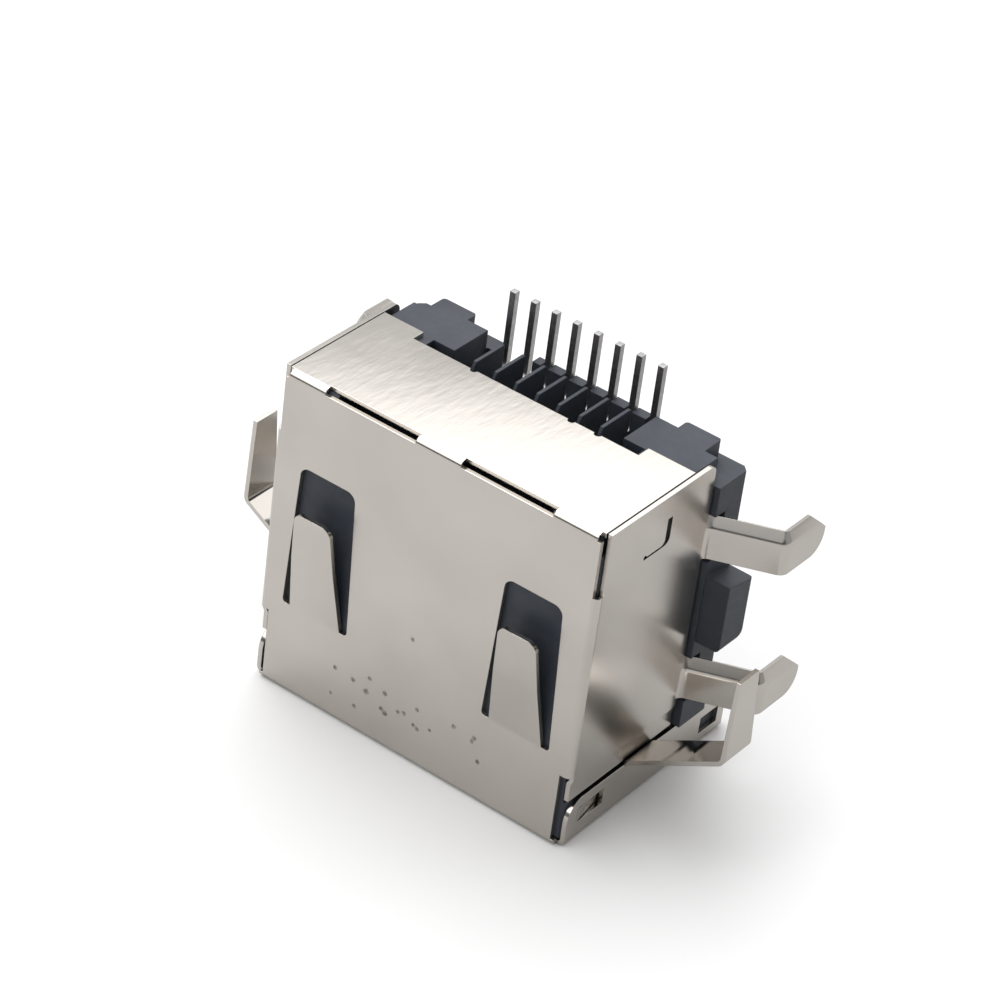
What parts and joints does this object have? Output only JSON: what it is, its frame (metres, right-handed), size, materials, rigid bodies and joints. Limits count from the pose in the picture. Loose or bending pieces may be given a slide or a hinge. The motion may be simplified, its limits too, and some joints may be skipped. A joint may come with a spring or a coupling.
{
  "type": "ethernet jack",
  "caption": "Shielded modular network jack for a circuit board: folded nickel-plated sheet shield with grounding springs and legs over a moulded body with formed contacts.",
  "frame": {"origin": "centre of the plug opening, in the plane of the mouth", "axes": "+Z from the mouth to the rear of the jack, the way the plug goes in; +Y from the shield's top wall towards the circuit board; +X to the right across the jack with +Y pointing away"},
  "size_m": [0.024, 0.012, 0.0162],
  "materials": {
    "nickel_sheet": "polished",
    "black_housing": "matte",
    "black_carrier": "matte",
    "plated_contact": "satin"
  },
  "bodies": {
    "root": {"shield": "nickel_sheet", "housing": "black_housing", "contact_carrier": "black_carrier", "contact_1": "plated_contact", "contact_2": "plated_contact", "contact_3": "plated_contact", "contact_4": "plated_contact", "contact_5": "plated_contact", "contact_6": "plated_contact", "contact_7": "plated_contact", "contact_8": "plated_contact"}
  },
  "joints": []
}
